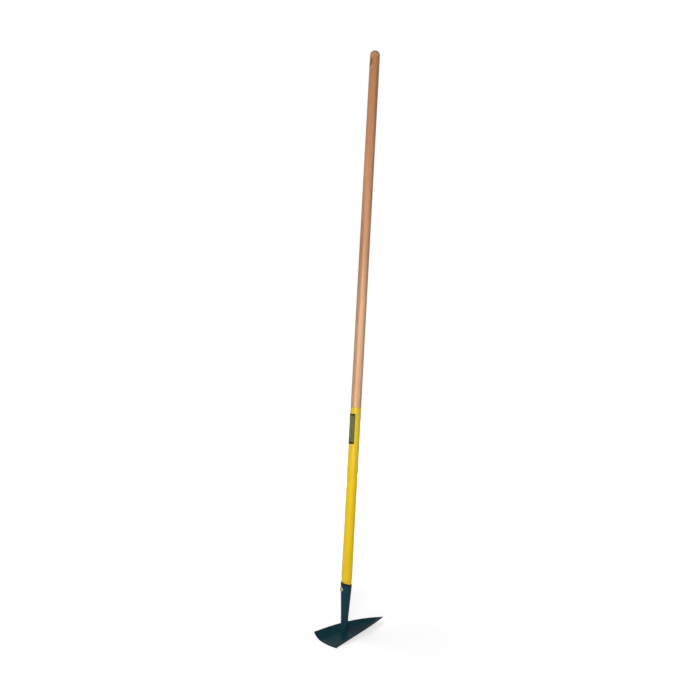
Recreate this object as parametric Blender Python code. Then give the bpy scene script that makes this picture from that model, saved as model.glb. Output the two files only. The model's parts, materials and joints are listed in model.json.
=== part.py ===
"""A pointed scuffle hoe: a long wooden handle, its yellow sleeve and label, and a steel head.

The handle stands along +Z. The origin is the middle of the neck's end, flush with the sole of
the blade. The blade's point looks towards +Y and the plane X = 0 halves the head.
"""
import math

import bmesh
import bpy
from mathutils import Matrix, Vector

# Fits
GAP = 0.0003

# Blade, measured along its own axis from the line that joins its two back corners
BLADE_LENGTH = 0.1955
BLADE_WIDTH = 0.0965
BACK_BULGE = 0.012
BACK_ROUNDNESS = 1.7
SIDE_BULGE = 0.48
SIDE_BULGE_FORWARD = 0.31
FOOT_FROM_BACK = 0.0603
BLADE_THICKNESS = 0.003
EDGE_THICKNESS = 0.0008
GRIND_WIDTH = 0.006
POINT_GRIND = 2.4 * GRIND_WIDTH
BLADE_RISE = math.radians(5.1)
ARCH_RADIUS = 1.02
RIDGE_SLOPE = math.tan(math.radians(2.0))
BLADE_SHARP_ANGLE = 8.0
SIDE_STEPS = 22
BACK_STEPS = 8
BEND_CUTS = 12

# Neck and socket
NECK_RADIUS = 0.0090
NECK_TOP = 0.030
NECK_TOP_RADIUS = 0.0095
TENON_RADIUS = 0.0072
RIM_HEIGHT = 0.119
RIM_RADIUS = 0.0148
RIM_SLANT = math.radians(15.0)
SOCKET_WALL = 0.0015
SOCKET_FLOOR = 0.051
SEAM_WIDTH = 0.0012
SEAM_BOTTOM = 0.048

# Handle
HANDLE_LENGTH = 1.500
HANDLE_BOTTOM = 0.055
END_CHAMFER = 0.002
HANDLE_TOP = HANDLE_BOTTOM + HANDLE_LENGTH
HANDLE_RADIUS = 0.0138
TOP_ROUNDING = 0.011
TOP_STEPS = 8
MOUTH_HEIGHT = RIM_HEIGHT + 0.5 * RIM_RADIUS * math.tan(RIM_SLANT)
TAPER_START = RIM_HEIGHT + 0.022
HOLE_WIDTH = 0.010
HOLE_HEIGHT = 0.018
HOLE_BELOW_TOP = 0.0345

# Sleeve and label
SLEEVE_TOP = 0.5735
SLEEVE_BOTTOM = 0.094
SLEEVE_RADIUS = 0.0140
SLEEVE_WALL = 0.0004
LABEL_TOP = 0.557
LABEL_LENGTH = 0.079
LABEL_THICKNESS = 0.0003
LABEL_MIDDLE = math.radians(-90.0)
LABEL_SPAN = math.radians(102.0)
LABEL_STEPS = 14

# Screw
SCREW_HEIGHT = 0.106
SCREW_HEAD_RADIUS = 0.0058
SCREW_HEAD_RISE = 0.0036
SCREW_HEAD_RIM = 0.0006
SCREW_HEAD_STEPS = 6
SCREW_SHANK_RADIUS = 0.0021
SCREW_REACH = 0.019
SCREW_POINT_START = 0.72 * SCREW_REACH
SCREW_SLOT = 0.0012
SLOT_TURN = math.radians(25.0)

# Weld
WELD_LEG = 0.0042
WELD_STEPS = 6

ROUND_STEPS = 48
SMALL_STEPS = 24


def socket_radius(height):
    """Outer radius of the neck and the cone above it."""
    if height < NECK_TOP:
        share = height / NECK_TOP
        return NECK_RADIUS + share * (NECK_TOP_RADIUS - NECK_RADIUS)
    share = (height - NECK_TOP) / (RIM_HEIGHT - NECK_TOP)
    return NECK_TOP_RADIUS + share * (RIM_RADIUS - NECK_TOP_RADIUS)


def bore_radius(height):
    """Inner radius of the socket."""
    return socket_radius(height) - SOCKET_WALL


def blade_drop(along, across):
    """How far the arch and the two sloping halves take a blade point below its foot."""
    return along * along / (2 * ARCH_RADIUS) + RIDGE_SLOPE * abs(across)


def blade_frame():
    """Turns the blade's own axes, X across and Y to the point, into the world."""
    return Matrix.Rotation(BLADE_RISE, 4, "X")


def blade_top_height(x, y):
    """World height of the blade's top face above a point of the ground plane near the foot."""
    along = y / math.cos(BLADE_RISE)
    lift = (BLADE_THICKNESS - blade_drop(along, x)) / math.cos(BLADE_RISE)
    return y * math.tan(BLADE_RISE) + lift


def add_object(name, bm, colour, roughness, metallic=0.0, smooth_angle=35.0):
    """Makes an object of a bmesh, with its own material and smooth round faces."""
    mesh = bpy.data.meshes.new(name)
    bm.to_mesh(mesh)
    bm.free()
    piece = bpy.data.objects.new(name, mesh)
    bpy.context.collection.objects.link(piece)
    material = bpy.data.materials.new(name + "_finish")
    material.use_nodes = True
    shader = material.node_tree.nodes["Principled BSDF"]
    shader.inputs["Base Color"].default_value = (*colour, 1.0)
    shader.inputs["Roughness"].default_value = roughness
    shader.inputs["Metallic"].default_value = metallic
    mesh.materials.append(material)
    mesh.shade_smooth()
    mesh.set_sharp_from_angle(angle=math.radians(smooth_angle))
    return piece


def turned(profile, steps, ring=False):
    """Turns a profile of (radius, height) points about Z; a ring's profile closes on itself."""
    bm = bmesh.new()
    verts = [bm.verts.new((radius, 0.0, height)) for radius, height in profile]
    edges = [bm.edges.new(pair) for pair in zip(verts, verts[1:])]
    if ring:
        edges.append(bm.edges.new((verts[-1], verts[0])))
    bmesh.ops.spin(bm, geom=verts + edges, axis=(0, 0, 1), cent=(0, 0, 0),
                   angle=math.tau, steps=steps, use_merge=True, use_duplicate=False)
    bmesh.ops.remove_doubles(bm, verts=bm.verts, dist=1e-6)
    bmesh.ops.recalc_face_normals(bm, faces=bm.faces)
    return bm


def cutter(name, bm):
    """A hidden tool body for the cuts."""
    mesh = bpy.data.meshes.new(name)
    bmesh.ops.recalc_face_normals(bm, faces=bm.faces)
    bm.to_mesh(mesh)
    bm.free()
    tool = bpy.data.objects.new(name, mesh)
    bpy.context.collection.objects.link(tool)
    tool.hide_render = True
    tool.display_type = "WIRE"
    return tool


def cut(piece, tool):
    """Takes a tool body away from a piece."""
    boolean = piece.modifiers.new(tool.name, "BOOLEAN")
    boolean.operation = "DIFFERENCE"
    boolean.solver = "EXACT"
    boolean.object = tool


def rod_cutter(name, radius, start, end, steps=SMALL_STEPS):
    """A round cutter along Y from start to end, centred on the screw's height."""
    bm = bmesh.new()
    place = (Matrix.Translation((0, (start + end) / 2, SCREW_HEIGHT))
             @ Matrix.Rotation(math.pi / 2, 4, "X"))
    bmesh.ops.create_cone(bm, cap_ends=True, segments=steps, radius1=radius,
                          radius2=radius, depth=end - start, matrix=place)
    return cutter(name, bm)


def sleeve_outer(height):
    """Outer radius of the sleeve, which follows the taper from above the rim downwards."""
    if height >= TAPER_START:
        return SLEEVE_RADIUS
    mouth_radius = bore_radius(RIM_HEIGHT) - GAP
    if height >= MOUTH_HEIGHT:
        share = (height - MOUTH_HEIGHT) / (TAPER_START - MOUTH_HEIGHT)
        return mouth_radius + share * (SLEEVE_RADIUS - mouth_radius)
    return min(mouth_radius, bore_radius(height) - GAP)


def taper_heights(low, high):
    """Heights where the taper turns, between low and high."""
    turns = (RIM_HEIGHT, MOUTH_HEIGHT, TAPER_START)
    return [low] + [turn for turn in turns if low < turn < high] + [high]


def make_handle():
    """The stick: a rounded top, the step under the sleeve and the taper in the socket."""
    flat = HANDLE_RADIUS - TOP_ROUNDING
    profile = [(0.0, HANDLE_TOP)]
    for step in range(TOP_STEPS + 1):
        angle = math.pi / 2 * step / TOP_STEPS
        profile.append((flat + TOP_ROUNDING * math.sin(angle),
                        HANDLE_TOP - TOP_ROUNDING * (1 - math.cos(angle))))
    profile.append((HANDLE_RADIUS, SLEEVE_TOP + GAP))
    for height in reversed(taper_heights(SLEEVE_BOTTOM, SLEEVE_TOP + GAP)):
        profile.append((sleeve_outer(height) - SLEEVE_WALL - GAP, height))
    end_radius = bore_radius(HANDLE_BOTTOM) - GAP
    profile.append((end_radius, HANDLE_BOTTOM + END_CHAMFER))
    profile.append((end_radius - END_CHAMFER, HANDLE_BOTTOM))
    profile.append((0.0, HANDLE_BOTTOM))
    handle = add_object("handle", turned(profile, ROUND_STEPS), (0.60, 0.35, 0.19), 0.45)
    cut(handle, hanging_hole_cutter())
    cut(handle, rod_cutter("pilot_hole", SCREW_SHANK_RADIUS + GAP,
                           -2 * HANDLE_RADIUS, screw_tip() + 2 * GAP))
    return handle


def hanging_hole_cutter():
    """An oblong bar along Y: a rod whose upper and lower halves are drawn apart."""
    bm = bmesh.new()
    bmesh.ops.create_cone(bm, cap_ends=True, segments=SMALL_STEPS, radius1=HOLE_WIDTH / 2,
                          radius2=HOLE_WIDTH / 2, depth=4 * HANDLE_RADIUS,
                          matrix=Matrix.Rotation(math.pi / 2, 4, "X"))
    bmesh.ops.rotate(bm, verts=bm.verts, cent=(0, 0, 0),
                     matrix=Matrix.Rotation(math.pi / SMALL_STEPS, 3, "Y"))
    stretch = (HOLE_HEIGHT - HOLE_WIDTH) / 2
    for vert in bm.verts:
        vert.co.z += math.copysign(stretch, vert.co.z)
    bmesh.ops.translate(bm, verts=bm.verts, vec=(0, 0, HANDLE_TOP - HOLE_BELOW_TOP))
    return cutter("hanging_hole", bm)


def make_sleeve():
    """The thin yellow skin over the lower third of the handle."""
    heights = taper_heights(SLEEVE_BOTTOM, SLEEVE_TOP)
    outside = [(sleeve_outer(height), height) for height in reversed(heights)]
    inside = [(sleeve_outer(height) - SLEEVE_WALL, height) for height in heights]
    sleeve = add_object("sleeve", turned(outside + inside, ROUND_STEPS, ring=True),
                        (0.85, 0.60, 0.03), 0.3)
    cut(sleeve, rod_cutter("sleeve_hole", SCREW_SHANK_RADIUS + GAP, -2 * HANDLE_RADIUS, 0.0))
    return sleeve


def make_label():
    """A plain strip that wraps part of the way round the sleeve."""
    inner = SLEEVE_RADIUS + GAP
    outer = inner + LABEL_THICKNESS
    bm = bmesh.new()
    corners = [(outer, LABEL_TOP), (outer, LABEL_TOP - LABEL_LENGTH),
               (inner, LABEL_TOP - LABEL_LENGTH), (inner, LABEL_TOP)]
    verts = [bm.verts.new((radius, 0.0, height)) for radius, height in corners]
    edges = [bm.edges.new(pair) for pair in zip(verts, verts[1:] + verts[:1])]
    bmesh.ops.spin(bm, geom=verts + edges, axis=(0, 0, 1), cent=(0, 0, 0), angle=LABEL_SPAN,
                   steps=LABEL_STEPS, use_merge=False, use_duplicate=False)
    bmesh.ops.holes_fill(bm, edges=bm.edges, sides=4)
    bmesh.ops.recalc_face_normals(bm, faces=bm.faces)
    bmesh.ops.rotate(bm, verts=bm.verts, cent=(0, 0, 0),
                     matrix=Matrix.Rotation(LABEL_MIDDLE - LABEL_SPAN / 2, 3, "Z"))
    return add_object("label", bm, (0.05, 0.13, 0.05), 0.4)


def make_socket():
    """The rolled cone with its slanted mouth and seam, closed below into the neck."""
    high = RIM_HEIGHT + 2 * RIM_RADIUS * math.tan(RIM_SLANT)
    profile = [(0.0, SOCKET_FLOOR), (bore_radius(SOCKET_FLOOR), SOCKET_FLOOR),
               (bore_radius(high), high), (socket_radius(high), high),
               (NECK_TOP_RADIUS, NECK_TOP), (socket_radius(-NECK_RADIUS), -NECK_RADIUS),
               (0.0, -NECK_RADIUS)]
    bm = turned(profile, ROUND_STEPS)
    slant = Matrix.Rotation(-RIM_SLANT, 3, "X")
    bmesh.ops.bisect_plane(bm, geom=bm.verts[:] + bm.edges[:] + bm.faces[:], dist=1e-7,
                           plane_co=(0, 0, RIM_HEIGHT), plane_no=slant @ Vector((0, 0, 1)),
                           clear_outer=True)
    rim = [edge for edge in bm.edges if edge.is_boundary]
    bmesh.ops.bridge_loops(bm, edges=rim)
    add_tenon(bm)
    bmesh.ops.recalc_face_normals(bm, faces=bm.faces)
    socket = add_object("socket", bm, (0.012, 0.045, 0.058), 0.28)
    cut(socket, rod_cutter("screw_hole", SCREW_SHANK_RADIUS + GAP, -2 * RIM_RADIUS, 0.0))
    cut(socket, seam_cutter())
    return socket


def add_tenon(bm):
    """Trims the neck along the blade and draws its end out through the blade to the sole."""
    normal = blade_frame() @ Vector((0, 0, 1))
    seat = normal * (BLADE_THICKNESS + GAP)
    bmesh.ops.bisect_plane(bm, geom=bm.verts[:] + bm.edges[:] + bm.faces[:], dist=1e-7,
                           plane_co=seat, plane_no=normal, clear_inner=True)
    loop = [edge for edge in bm.edges if edge.is_boundary]
    end = bmesh.ops.contextual_create(bm, geom=loop)["faces"]
    bmesh.ops.recalc_face_normals(bm, faces=bm.faces)
    bmesh.ops.inset_region(bm, faces=end, thickness=NECK_RADIUS - TENON_RADIUS,
                           use_even_offset=True)
    drawn = bmesh.ops.extrude_face_region(bm, geom=end)["geom"]
    verts = [item for item in drawn if isinstance(item, bmesh.types.BMVert)]
    bmesh.ops.translate(bm, verts=verts, vec=-normal * (BLADE_THICKNESS + GAP))
    bmesh.ops.delete(bm, geom=end, context="FACES_ONLY")


def seam_cutter():
    """A thin bar through the socket's wall on the side that faces the blade's point."""
    bm = bmesh.new()
    height = 2 * RIM_HEIGHT
    bmesh.ops.create_cube(bm, size=1.0)
    bmesh.ops.scale(bm, verts=bm.verts, vec=(SEAM_WIDTH, 2 * RIM_RADIUS, height))
    bmesh.ops.translate(bm, verts=bm.verts,
                        vec=(0, RIM_RADIUS + GAP, SEAM_BOTTOM + height / 2))
    return cutter("seam", bm)


def blade_outline(inset, point_inset):
    """The blade's outline as (across, along) points, drawn in at its sides, back and point."""
    half = BLADE_WIDTH / 2 - inset
    back = inset
    point = BLADE_LENGTH - point_inset
    points = []
    for step in range(SIDE_STEPS + 1):
        share = step / SIDE_STEPS
        width = half * (1 - share) * (1 + SIDE_BULGE * share + SIDE_BULGE_FORWARD * share ** 2)
        points.append((width, back + share * (point - back)))
    points += [(-across, along) for across, along in reversed(points[:-1])]
    for step in range(1, 2 * BACK_STEPS):
        share = step / BACK_STEPS - 1
        bulge = BACK_BULGE * (1 - abs(share) ** BACK_ROUNDNESS)
        points.append((share * half, back - bulge))
    return points


def make_blade():
    """The plate: ground thin at its edges, arched along, with two gently sloping halves."""
    bm = bmesh.new()
    outline = blade_outline(0.0, 0.0)
    sole = [bm.verts.new((across, along, 0.0)) for across, along in outline]
    rim = [bm.verts.new((across, along, EDGE_THICKNESS)) for across, along in outline]
    top = [bm.verts.new((across, along, BLADE_THICKNESS))
           for across, along in blade_outline(GRIND_WIDTH, POINT_GRIND)]
    bm.faces.new(sole)
    bm.faces.new(top)
    for lower, upper in ((sole, rim), (rim, top)):
        for here in range(len(outline)):
            after = (here + 1) % len(outline)
            bm.faces.new((lower[here], lower[after], upper[after], upper[here]))
    bmesh.ops.translate(bm, verts=bm.verts, vec=(0, -FOOT_FROM_BACK, 0))
    for step in range(1, BEND_CUTS):
        along = -FOOT_FROM_BACK - BACK_BULGE + step * (BLADE_LENGTH + BACK_BULGE) / BEND_CUTS
        bmesh.ops.bisect_plane(bm, geom=bm.verts[:] + bm.edges[:] + bm.faces[:], dist=1e-6,
                               plane_co=(0, along, 0), plane_no=(0, 1, 0))
    bmesh.ops.bisect_plane(bm, geom=bm.verts[:] + bm.edges[:] + bm.faces[:], dist=1e-6,
                           plane_co=(0, 0, 0), plane_no=(1, 0, 0))
    for vert in bm.verts:
        vert.co.z -= blade_drop(vert.co.y, vert.co.x)
    bmesh.ops.triangulate(bm, faces=bm.faces)
    bmesh.ops.recalc_face_normals(bm, faces=bm.faces)
    bmesh.ops.transform(bm, matrix=blade_frame(), verts=bm.verts)
    blade = add_object("blade", bm, (0.010, 0.034, 0.045), 0.25, smooth_angle=BLADE_SHARP_ANGLE)
    cut(blade, tenon_hole_cutter())
    return blade


def tenon_hole_cutter():
    """The round hole that the neck's end passes through, square to the blade."""
    bm = bmesh.new()
    bmesh.ops.create_cone(bm, cap_ends=True, segments=ROUND_STEPS,
                          radius1=TENON_RADIUS + 2 * GAP, radius2=TENON_RADIUS + 2 * GAP,
                          depth=10 * BLADE_THICKNESS, matrix=blade_frame())
    return cutter("tenon_hole", bm)


def make_weld():
    """A hollow-faced bead round the foot of the neck, laid on the blade."""
    inner = NECK_RADIUS + 2 * GAP
    profile = [(inner, GAP)]
    for step in range(WELD_STEPS + 1):
        angle = math.pi / 2 * step / WELD_STEPS
        profile.append((inner + WELD_LEG * (1 - math.sin(angle)) + GAP,
                        2 * GAP + WELD_LEG * (1 - math.cos(angle))))
    profile.append((inner, 2 * GAP + WELD_LEG))
    bm = turned(profile, ROUND_STEPS, ring=True)
    for vert in bm.verts:
        vert.co.z += blade_top_height(vert.co.x, vert.co.y)
    return add_object("weld", bm, (0.012, 0.042, 0.055), 0.35)


def screw_seat():
    """Distance from the axis at which the screw's head clears the widest socket under it."""
    return socket_radius(SCREW_HEIGHT + SCREW_HEAD_RADIUS) + GAP


def screw_tip():
    """Y of the screw's point."""
    return SCREW_REACH - screw_seat()


def make_screw():
    """A round-headed wood screw with one slot, driven in along +Y."""
    profile = [(0.0, SCREW_HEAD_RISE)]
    dome = SCREW_HEAD_RISE - SCREW_HEAD_RIM
    for step in range(1, SCREW_HEAD_STEPS + 1):
        angle = math.pi / 2 * step / SCREW_HEAD_STEPS
        profile.append((SCREW_HEAD_RADIUS * math.sin(angle),
                        SCREW_HEAD_RIM + dome * math.cos(angle)))
    profile += [(SCREW_HEAD_RADIUS, 0.0), (SCREW_SHANK_RADIUS, 0.0),
                (SCREW_SHANK_RADIUS, -SCREW_POINT_START), (0.0, -SCREW_REACH)]
    bm = turned(profile, SMALL_STEPS)
    bmesh.ops.rotate(bm, verts=bm.verts, cent=(0, 0, 0),
                     matrix=Matrix.Rotation(math.pi / 2, 3, "X"))
    bmesh.ops.translate(bm, verts=bm.verts, vec=(0, -screw_seat(), SCREW_HEIGHT))
    screw = add_object("screw", bm, (0.62, 0.60, 0.52), 0.3, metallic=1.0)
    cut(screw, screw_slot_cutter())
    return screw


def screw_slot_cutter():
    """A thin bar across the screw's head."""
    bm = bmesh.new()
    bmesh.ops.create_cube(bm, size=1.0)
    bmesh.ops.scale(bm, verts=bm.verts, vec=(4 * SCREW_HEAD_RADIUS, SCREW_HEAD_RISE, SCREW_SLOT))
    bmesh.ops.rotate(bm, verts=bm.verts, cent=(0, 0, 0),
                     matrix=Matrix.Rotation(SLOT_TURN, 3, "Y"))
    bmesh.ops.translate(bm, verts=bm.verts,
                        vec=(0, -screw_seat() - SCREW_HEAD_RISE, SCREW_HEIGHT))
    return cutter("screw_slot", bm)


for leftover in list(bpy.data.objects):
    bpy.data.objects.remove(leftover)

make_handle()
make_sleeve()
make_label()
make_socket()
make_blade()
make_weld()
make_screw()
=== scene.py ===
# %% [markdown]
# # A scuffle hoe with a wooden handle
#
# This hoe is pushed and pulled just under the soil to cut weeds. It has few pieces: a long
# round stick, a yellow skin on its lower third, a green label, and a steel head made of a
# rolled socket, a pointed blade, a weld and one screw.
#
# The sizes and places come from the CAD model, which is loaded first and stays where it is.
# Each CAD node is then replaced by a finer piece of the same size with the real finish.

import json
import math

import bmesh
import bpy
from mathutils import Matrix, Vector

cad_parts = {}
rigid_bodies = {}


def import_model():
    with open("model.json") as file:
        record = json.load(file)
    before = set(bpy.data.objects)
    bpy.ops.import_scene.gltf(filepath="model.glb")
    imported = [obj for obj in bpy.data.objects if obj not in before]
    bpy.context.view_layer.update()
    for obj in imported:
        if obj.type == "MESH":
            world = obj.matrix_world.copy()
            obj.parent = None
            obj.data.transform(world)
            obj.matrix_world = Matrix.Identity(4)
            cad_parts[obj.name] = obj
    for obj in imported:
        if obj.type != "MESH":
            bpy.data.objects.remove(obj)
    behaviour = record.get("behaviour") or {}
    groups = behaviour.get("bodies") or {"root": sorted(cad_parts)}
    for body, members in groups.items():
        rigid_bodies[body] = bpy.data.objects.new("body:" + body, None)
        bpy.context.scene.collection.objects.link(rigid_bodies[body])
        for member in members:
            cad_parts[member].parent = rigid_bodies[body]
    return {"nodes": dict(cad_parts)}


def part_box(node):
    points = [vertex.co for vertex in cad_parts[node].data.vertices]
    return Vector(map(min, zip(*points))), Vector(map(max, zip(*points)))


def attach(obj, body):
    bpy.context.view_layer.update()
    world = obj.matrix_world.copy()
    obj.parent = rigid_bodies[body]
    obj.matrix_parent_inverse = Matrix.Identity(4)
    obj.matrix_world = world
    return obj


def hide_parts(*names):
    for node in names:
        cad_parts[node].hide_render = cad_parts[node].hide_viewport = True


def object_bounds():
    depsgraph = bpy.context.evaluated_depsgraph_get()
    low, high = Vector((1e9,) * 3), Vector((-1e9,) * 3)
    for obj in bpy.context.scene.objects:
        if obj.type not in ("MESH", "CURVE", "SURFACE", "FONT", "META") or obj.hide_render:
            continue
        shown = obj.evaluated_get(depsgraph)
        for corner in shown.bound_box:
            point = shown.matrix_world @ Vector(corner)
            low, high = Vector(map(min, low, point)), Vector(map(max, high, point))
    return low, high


for leftover in list(bpy.data.objects):
    bpy.data.objects.remove(leftover)

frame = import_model()
cad_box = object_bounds()
print("CAD nodes:", sorted(frame["nodes"]))
print("CAD box:", [round(value, 4) for corner in cad_box for value in corner])

# %% [markdown]
# ## Three helpers for the pieces
#
# A bmesh is Blender's workbench mesh: it is shaped with operators and then stored in an
# object. Merging doubles closes seams and poles, and recalculating the normals turns every
# face outwards. Round faces are shaded smooth, and edges sharper than a set angle stay crisp.
#
# A second helper cuts a hole with a boolean modifier, and keeps the cut mesh in place of the
# modifier. A third spins a profile about the axis, because most pieces of a hoe are round.

# %% Turn a bmesh into a piece
def store_piece(bm, name, node, sharp_degrees=30.0):
    """Stores a bmesh as a piece that stands for a CAD node."""
    bmesh.ops.remove_doubles(bm, verts=bm.verts, dist=1e-6)
    bmesh.ops.recalc_face_normals(bm, faces=bm.faces)
    mesh = bpy.data.meshes.new(name)
    bm.to_mesh(mesh)
    bm.free()
    mesh.shade_smooth()
    mesh.set_sharp_from_angle(angle=math.radians(sharp_degrees))
    piece = bpy.data.objects.new(name, mesh)
    bpy.context.scene.collection.objects.link(piece)
    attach(piece, "root")
    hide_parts(node)
    print(name, "has", len(mesh.polygons), "faces")
    return piece


# %% Cut a shape out of a piece
def carve(piece, tool_bm, sharp_degrees=30.0):
    """Takes a closed tool shape away from a piece and keeps the cut mesh."""
    bmesh.ops.recalc_face_normals(tool_bm, faces=tool_bm.faces)
    tool_mesh = bpy.data.meshes.new("tool")
    tool_bm.to_mesh(tool_mesh)
    tool_bm.free()
    tool = bpy.data.objects.new("tool", tool_mesh)
    bpy.context.scene.collection.objects.link(tool)
    boolean = piece.modifiers.new("cut", "BOOLEAN")
    boolean.object = tool
    boolean.solver = "EXACT"
    bpy.context.view_layer.update()
    graph = bpy.context.evaluated_depsgraph_get()
    carved = bpy.data.meshes.new_from_object(piece.evaluated_get(graph))
    piece.modifiers.clear()
    piece.data = carved
    bpy.data.objects.remove(tool)
    carved.shade_smooth()
    carved.set_sharp_from_angle(angle=math.radians(sharp_degrees))
    print(piece.name, "was cut and has", len(carved.polygons), "faces")


# %% Turn a profile about the handle's axis
def turned(profile, steps, rounded=(), ring=False):
    """Spins (radius, height) points about Z. rounded holds (point number, size, segments)."""
    bm = bmesh.new()
    verts = [bm.verts.new((radius, 0.0, height)) for radius, height in profile]
    edges = [bm.edges.new(pair) for pair in zip(verts, verts[1:])]
    if ring:
        edges.append(bm.edges.new((verts[-1], verts[0])))
    for number, size, segments in rounded:
        bmesh.ops.bevel(bm, geom=[verts[number]], offset=size, offset_type="OFFSET",
                        segments=segments, profile=0.5, affect="VERTICES", material=-1)
    bmesh.ops.spin(bm, geom=bm.verts[:] + bm.edges[:], axis=(0, 0, 1), cent=(0, 0, 0),
                   angle=math.tau, steps=steps, use_merge=True, use_duplicate=False)
    bmesh.ops.remove_doubles(bm, verts=bm.verts, dist=1e-6)
    bmesh.ops.recalc_face_normals(bm, faces=bm.faces)
    return bm


# %% [markdown]
# ## The handle
#
# The stick is ash, turned round, with a domed top and an oblong hole to hang it by. It could
# be a plain cylinder with a sphere on top, but the dome here has a small flat in its middle.
# So a profile of a few corners is drawn, its top corner is rounded with a vertex bevel, and
# the profile is spun about the axis. The hidden lower end narrows into the socket.

# %% Handle sizes
handle_low, handle_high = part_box("handle")
HANDLE_RADIUS = handle_high.x
HANDLE_TOP = handle_high.z
HANDLE_BOTTOM = handle_low.z
GAP = 0.0003
ROUND_STEPS = 96
TOP_ROUNDING = 0.011
END_CHAMFER = 0.002
HOLE_WIDTH = 0.010
HOLE_HEIGHT = 0.018
HOLE_STEPS = 48
HOLE_BELOW_TOP = 0.0345
sleeve_low, sleeve_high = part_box("sleeve")
SLEEVE_RADIUS = sleeve_high.x
SLEEVE_WALL = 0.0004
print("handle radius", round(HANDLE_RADIUS, 4), "top", round(HANDLE_TOP, 4))

# %% Socket sizes, which the hidden end of the handle follows
NECK_RADIUS = 0.0090
NECK_TOP = 0.030
NECK_TOP_RADIUS = 0.0095
RIM_HEIGHT = 0.119
RIM_RADIUS = 0.0148
RIM_SLANT = math.radians(15.0)
SOCKET_WALL = 0.0015
SOCKET_FLOOR = 0.051
CONE_SLOPE = (RIM_RADIUS - NECK_TOP_RADIUS) / (RIM_HEIGHT - NECK_TOP)
MOUTH_HEIGHT = RIM_HEIGHT + 0.5 * RIM_RADIUS * math.tan(RIM_SLANT)
MOUTH_RADIUS = RIM_RADIUS - SOCKET_WALL - GAP
TAPER_START = RIM_HEIGHT + 0.022


def cone_radius(height):
    """Outer radius of the socket's cone."""
    return NECK_TOP_RADIUS + CONE_SLOPE * (height - NECK_TOP)


print("the skin is", round(2 * MOUTH_RADIUS, 4), "m wide in the socket's mouth")

# %% Turn the handle
under_sleeve = SLEEVE_WALL + GAP
seat = cone_radius(sleeve_low.z) - SOCKET_WALL - GAP - under_sleeve
end = cone_radius(HANDLE_BOTTOM) - SOCKET_WALL - GAP
stick_profile = [
    (0.0, HANDLE_TOP), (HANDLE_RADIUS, HANDLE_TOP), (HANDLE_RADIUS, sleeve_high.z + GAP),
    (SLEEVE_RADIUS - under_sleeve, sleeve_high.z + GAP),
    (SLEEVE_RADIUS - under_sleeve, TAPER_START),
    (MOUTH_RADIUS - under_sleeve, MOUTH_HEIGHT), (MOUTH_RADIUS - under_sleeve, RIM_HEIGHT),
    (seat, sleeve_low.z), (end, HANDLE_BOTTOM + END_CHAMFER), (end - END_CHAMFER, HANDLE_BOTTOM),
    (0.0, HANDLE_BOTTOM)]
stick = store_piece(turned(stick_profile, ROUND_STEPS, rounded=[(1, TOP_ROUNDING, 12)]),
                    "handle_stick", "handle")

# %% [markdown]
# The hanging hole is cut with a bar of the hole's shape. A circle is drawn, its upper and
# lower halves are pulled apart to make it oblong, and it is extruded along Y. The bar widens
# just under the surface, so that the cut leaves a soft edge like that of a real routed hole.

# %% Cut the hanging hole
FLARE_DEPTH = 0.0022
FLARE_START = HANDLE_RADIUS - FLARE_DEPTH
FLARE_END = 0.020
FLARE_SCALE = 1.8

bm = bmesh.new()
bmesh.ops.create_circle(bm, cap_ends=True, segments=HOLE_STEPS, radius=HOLE_WIDTH / 2,
                        matrix=Matrix.Rotation(math.pi / 2, 4, "X"))
bmesh.ops.rotate(bm, verts=bm.verts, cent=(0, 0, 0),
                 matrix=Matrix.Rotation(math.pi / HOLE_STEPS, 3, "Y"))
for vert in bm.verts:
    vert.co.z += math.copysign((HOLE_HEIGHT - HOLE_WIDTH) / 2, vert.co.z)
bmesh.ops.translate(bm, verts=bm.verts, vec=(0, -FLARE_END, 0))
bmesh.ops.scale(bm, verts=bm.verts, vec=(FLARE_SCALE, 1, FLARE_SCALE))
cap = bm.faces[:]
stations = ((-FLARE_START, 1 / FLARE_SCALE), (FLARE_START, 1.0), (FLARE_END, FLARE_SCALE))
for place, change in stations:
    # The first face stays and closes the bar's end. The later ones lie inside it and go.
    grown = bmesh.ops.extrude_face_region(bm, geom=cap)["geom"]
    if place != -FLARE_START:
        bmesh.ops.delete(bm, geom=cap, context="FACES_ONLY")
    cap = [item for item in grown if isinstance(item, bmesh.types.BMFace)]
    ring = [item for item in grown if isinstance(item, bmesh.types.BMVert)]
    bmesh.ops.scale(bm, verts=ring, vec=(change, 1, change))
    for vert in ring:
        vert.co.y = place
print("open edges in the bar:", sum(1 for edge in bm.edges if not edge.is_manifold))
bmesh.ops.translate(bm, verts=bm.verts, vec=(0, 0, HANDLE_TOP - HOLE_BELOW_TOP))
carve(stick, bm)

# %% [markdown]
# ## The yellow skin
#
# The lower third of the stick wears a thin glossy plastic skin, shrunk on before the head is
# driven home. It is a closed ring with a wall of 0.4 mm: an outer line down, an inner line up.
# Its upper lip is rounded with a vertex bevel, since that edge shows from every side.

# %% Turn the skin
SKIN_LIP = 0.0003
heights = [sleeve_high.z, TAPER_START, MOUTH_HEIGHT, RIM_HEIGHT, sleeve_low.z]
low_radius = cone_radius(sleeve_low.z) - SOCKET_WALL - GAP
radii = [SLEEVE_RADIUS, SLEEVE_RADIUS, MOUTH_RADIUS, MOUTH_RADIUS, low_radius]
outer_line = list(zip(radii, heights))
inner_line = [(radius - SLEEVE_WALL, height) for radius, height in reversed(outer_line)]
bm = turned(outer_line + inner_line, ROUND_STEPS, rounded=[(0, SKIN_LIP, 3)], ring=True)
skin = store_piece(bm, "sleeve_skin", "sleeve")

# %% [markdown]
# ## The label
#
# A green strip is stuck on the skin, on the side that faces the user. It carries no print
# here. A flat sheet with rounded corners is cut into narrow columns, so that it can bend, and
# each point is then moved to its angle on the stick. Extruding it outwards gives it a
# thickness.

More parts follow.
